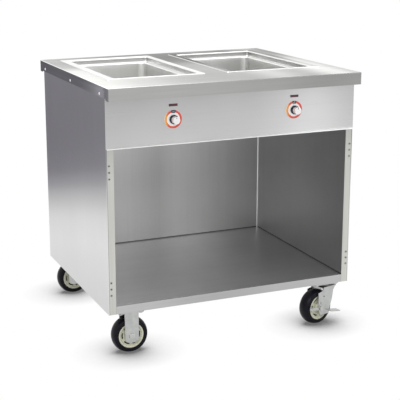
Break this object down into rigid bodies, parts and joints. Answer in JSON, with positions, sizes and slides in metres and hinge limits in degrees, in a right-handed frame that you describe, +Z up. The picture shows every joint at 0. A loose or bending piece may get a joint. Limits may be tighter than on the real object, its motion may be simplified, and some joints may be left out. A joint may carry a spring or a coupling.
{
  "type": "heated serving trolley",
  "caption": "Stainless heated serving trolley with drawn food wells in its worktop, dials on the fascia, an open cupboard, and rigid and braked swivel casters.",
  "frame": {"origin": "on the floor, below the middle of the worktop", "axes": "+X to the right as seen from the open front, +Y to the back, +Z up"},
  "size_m": [0.9192, 0.8, 0.9165],
  "materials": {
    "worktop_steel": "brushed",
    "cabinet_steel": "brushed",
    "hidden_steel": "plain",
    "mineral_wool": "soft",
    "rod_sheath": "dull",
    "thermostat": "matte",
    "spindle": "plain",
    "dial_print": "printed",
    "knob": "gloss",
    "lamp_lens": "gloss",
    "fastener": "zinc plated",
    "gland": "matte",
    "tyre": "matte",
    "hub": "satin",
    "caster_steel": "zinc plated"
  },
  "bodies": {
    "cabinet": {"worktop": "worktop_steel", "left_well": "worktop_steel", "right_well": "worktop_steel", "left_side_panel": "cabinet_steel", "right_side_panel": "cabinet_steel", "back_panel": "cabinet_steel", "left_front_post": "cabinet_steel", "right_front_post": "cabinet_steel", "bottom_shelf": "cabinet_steel", "fascia": "cabinet_steel", "left_liner": "cabinet_steel", "right_liner": "cabinet_steel", "back_liner": "cabinet_steel", "bay_floor": "cabinet_steel", "deck_brace": "hidden_steel", "left_well_jacket": "hidden_steel", "right_well_jacket": "hidden_steel", "left_caster_channel": "hidden_steel", "right_caster_channel": "hidden_steel", "left_insulation": "mineral_wool", "right_insulation": "mineral_wool", "left_heating_rod": "rod_sheath", "right_heating_rod": "rod_sheath", "left_thermostat": "thermostat", "right_thermostat": "thermostat", "left_dial_plate": "dial_print", "right_dial_plate": "dial_print", "left_pilot_lamp": "lamp_lens", "right_pilot_lamp": "lamp_lens", "flange_screws": "fastener", "hinge_inserts": "fastener", "caster_bolts": "fastener", "fl_axle": "fastener", "rl_axle": "fastener", "cord_gland": "gland", "fl_fork": "caster_steel", "rl_fork": "caster_steel", "fr_top_plate": "caster_steel", "rr_top_plate": "caster_steel", "fr_swivel_bearing": "caster_steel", "rr_swivel_bearing": "caster_steel"},
    "fl_wheel": {"fl_tyre": "tyre", "fl_hub": "hub"},
    "rl_wheel": {"rl_tyre": "tyre", "rl_hub": "hub"},
    "fr_swivel": {"fr_fork": "caster_steel", "fr_axle": "fastener"},
    "fr_wheel": {"fr_tyre": "tyre", "fr_hub": "hub"},
    "fr_brake": {"fr_brake_lever": "caster_steel"},
    "rr_swivel": {"rr_fork": "caster_steel", "rr_axle": "fastener"},
    "rr_wheel": {"rr_tyre": "tyre", "rr_hub": "hub"},
    "rr_brake": {"rr_brake_lever": "caster_steel"},
    "left_dial": {"left_knob": "knob", "left_shaft": "spindle"},
    "right_dial": {"right_knob": "knob", "right_shaft": "spindle"}
  },
  "joints": [
    {"name": "fl_wheel_roll", "type": "hinge", "parent": "cabinet", "child": "fl_wheel", "pos_m": [-0.375, -0.326, 0.0635], "axis": [0, 1, 0], "continuous": true},
    {"name": "rl_wheel_roll", "type": "hinge", "parent": "cabinet", "child": "rl_wheel", "pos_m": [-0.375, 0.326, 0.0635], "axis": [0, 1, 0], "continuous": true},
    {"name": "fr_swivel_turn", "type": "hinge", "parent": "cabinet", "child": "fr_swivel", "pos_m": [0.375, -0.326, 0.149], "axis": [0, 0, 1], "continuous": true},
    {"name": "fr_wheel_roll", "type": "hinge", "parent": "fr_swivel", "child": "fr_wheel", "pos_m": [0.33636, -0.33635, 0.0635], "axis": [-0.2588, 0.9659, 0], "continuous": true},
    {"name": "fr_brake_press", "type": "hinge", "parent": "fr_swivel", "child": "fr_brake", "pos_m": [0.33636, -0.33635, 0.0635], "axis": [-0.2588, 0.9659, 0], "range_deg": [0, 12]},
    {"name": "rr_swivel_turn", "type": "hinge", "parent": "cabinet", "child": "rr_swivel", "pos_m": [0.375, 0.326, 0.149], "axis": [0, 0, 1], "continuous": true},
    {"name": "rr_wheel_roll", "type": "hinge", "parent": "rr_swivel", "child": "rr_wheel", "pos_m": [0.33587, 0.33432, 0.0635], "axis": [0.2079, 0.9781, 0], "continuous": true},
    {"name": "rr_brake_press", "type": "hinge", "parent": "rr_swivel", "child": "rr_brake", "pos_m": [0.33587, 0.33432, 0.0635], "axis": [0.2079, 0.9781, 0], "range_deg": [0, 12]},
    {"name": "left_dial_turn", "type": "hinge", "parent": "cabinet", "child": "left_dial", "pos_m": [-0.222, -0.36, 0.794], "axis": [0, 1, 0], "range_deg": [0, 300]},
    {"name": "right_dial_turn", "type": "hinge", "parent": "cabinet", "child": "right_dial", "pos_m": [0.222, -0.36, 0.794], "axis": [0, 1, 0], "range_deg": [0, 300]}
  ]
}
